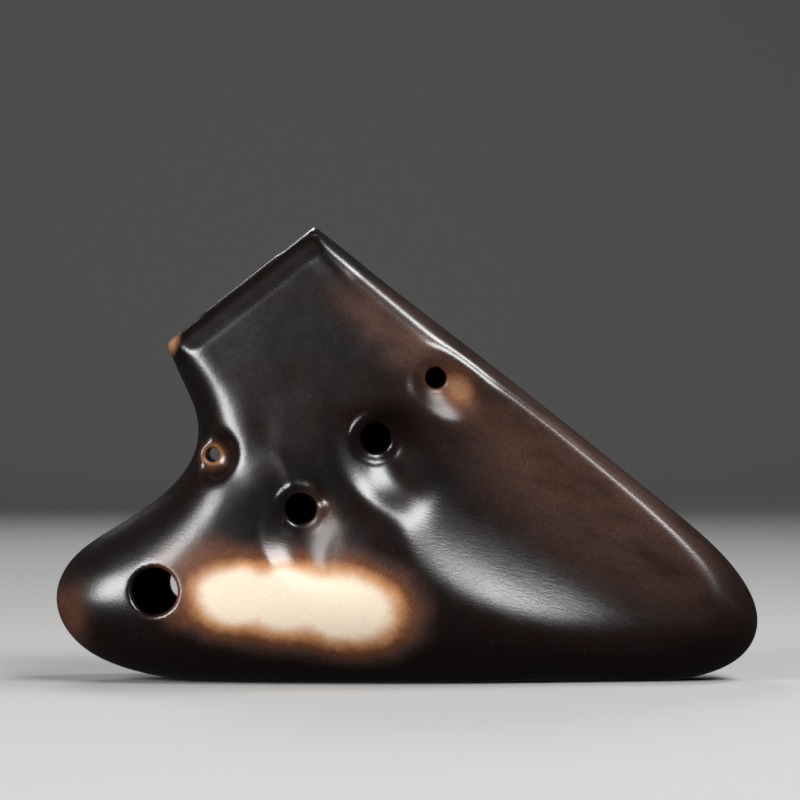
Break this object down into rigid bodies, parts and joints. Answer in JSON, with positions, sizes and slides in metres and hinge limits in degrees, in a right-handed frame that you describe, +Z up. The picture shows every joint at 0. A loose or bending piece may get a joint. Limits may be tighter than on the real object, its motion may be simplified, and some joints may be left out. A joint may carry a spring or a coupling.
{
  "type": "ocarina",
  "caption": "hollow clay vessel flute with finger holes, fipple windway, labium and lanyard hole, standing on a ground flat",
  "frame": {"origin": "centre of the base, on the surface that the ocarina stands on", "axes": "+X from the round bell lobe to the tail, +Z up, finger-hole face towards -Y"},
  "size_m": [0.1504, 0.0482, 0.0968],
  "materials": {
    "smoked_clay": "burnished satin",
    "bare_clay": "matte"
  },
  "bodies": {
    "root": {"front_shell": "smoked_clay", "back_shell": "smoked_clay", "windway_block": "smoked_clay", "windway_roof": "smoked_clay", "labium": "smoked_clay", "strap_post": "bare_clay", "seam_coil": "bare_clay"}
  },
  "joints": []
}
